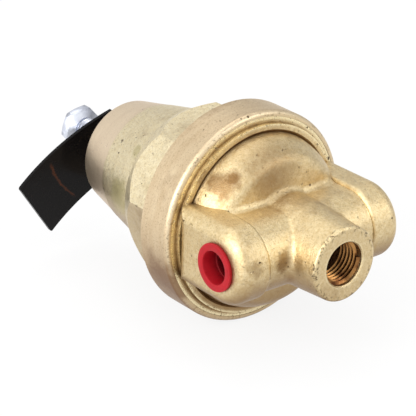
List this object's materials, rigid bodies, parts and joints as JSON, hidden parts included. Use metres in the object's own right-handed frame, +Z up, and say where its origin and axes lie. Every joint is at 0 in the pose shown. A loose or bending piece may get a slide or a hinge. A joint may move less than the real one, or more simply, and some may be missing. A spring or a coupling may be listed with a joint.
{
  "type": "pressure regulating valve",
  "caption": "Cast brass pressure regulating valve with threaded front and side ports, a tapered spring housing, a hex-head adjusting screw and a black hang tag.",
  "frame": {"origin": "centre of the front (inlet) port's face, on the valve's main axis", "axes": "+Y from the front port along the main axis to the adjusting screw, +X towards the open side (outlet) port, +Z up"},
  "size_m": [0.0714, 0.134, 0.068],
  "materials": {
    "cast_brass": "sand cast, with a machined skirt and end",
    "turned_brass": "turned",
    "zinc_steel": "bright zinc plate",
    "spring_steel": "drawn wire",
    "pressed_steel": "pressed sheet",
    "stainless": "turned and pressed stainless",
    "black_rubber": "moulded",
    "red_plastic": "moulded polyethylene",
    "black_plastic": "glossy sheet"
  },
  "bodies": {
    "valve": {"valve_body": "cast_brass", "spring_housing": "cast_brass", "body_o_ring": "black_rubber", "slip_ring": "turned_brass", "diaphragm": "black_rubber", "valve_seat": "turned_brass", "seat_o_ring": "black_rubber", "poppet_retainer": "turned_brass", "inlet_strainer": "stainless", "poppet_spring": "stainless"},
    "diaphragm_plates": {"pressure_plate": "turned_brass", "spring_cup": "pressed_steel", "diaphragm_stem": "turned_brass", "stem_nut": "zinc_steel", "regulating_spring": "spring_steel"},
    "poppet": {"inlet_poppet": "turned_brass", "poppet_disc": "black_rubber"},
    "button": {"spring_button": "zinc_steel"},
    "screw": {"adjusting_screw": "zinc_steel"},
    "washer": {"lock_washer": "zinc_steel"},
    "nut": {"lock_nut": "zinc_steel"},
    "tag": {"tag_strip": "black_plastic"},
    "plug": {"port_plug": "red_plastic"}
  },
  "joints": [
    {"name": "diaphragm_travel", "type": "slide", "parent": "valve", "child": "diaphragm_plates", "axis": [0, -1, 0], "range_m": [0, 0.002], "stiffness_N_per_m": 2000, "deforming": ["diaphragm", "regulating_spring"]},
    {"name": "poppet_lift", "type": "slide", "parent": "valve", "child": "poppet", "axis": [0, -1, 0], "range_m": [0, 0.002], "deforming": ["poppet_spring"]},
    {"name": "button_travel", "type": "slide", "parent": "valve", "child": "button", "axis": [0, -1, 0], "range_m": [-0.00187, 0.00875], "deforming": ["regulating_spring"]},
    {"name": "screw_turn", "type": "hinge", "parent": "button", "child": "screw", "pos_m": [0, 0.11, 0], "axis": [0, -1, 0], "range_deg": [-540, 2520]},
    {"name": "washer_travel", "type": "slide", "parent": "valve", "child": "washer", "axis": [0, 1, 0], "range_m": [0, 0.00125]},
    {"name": "nut_turn", "type": "hinge", "parent": "washer", "child": "nut", "pos_m": [0, 0.1031, 0], "axis": [0, 1, 0], "range_deg": [0, 360]},
    {"name": "tag_turn", "type": "hinge", "parent": "valve", "child": "tag", "pos_m": [0, 0.108, 0], "axis": [0, 1, 0], "continuous": true},
    {"name": "plug_pull", "type": "slide", "parent": "valve", "child": "plug", "axis": [-1, 0, 0], "range_m": [0, 0.02]}
  ],
  "couplings": [
    {"joint": "poppet_lift", "follows": "diaphragm_travel", "ratio": 1},
    {"joint": "screw_turn", "follows": "button_travel", "rad_per_m": 5026.5},
    {"joint": "nut_turn", "follows": "washer_travel", "rad_per_m": 5026.5}
  ]
}
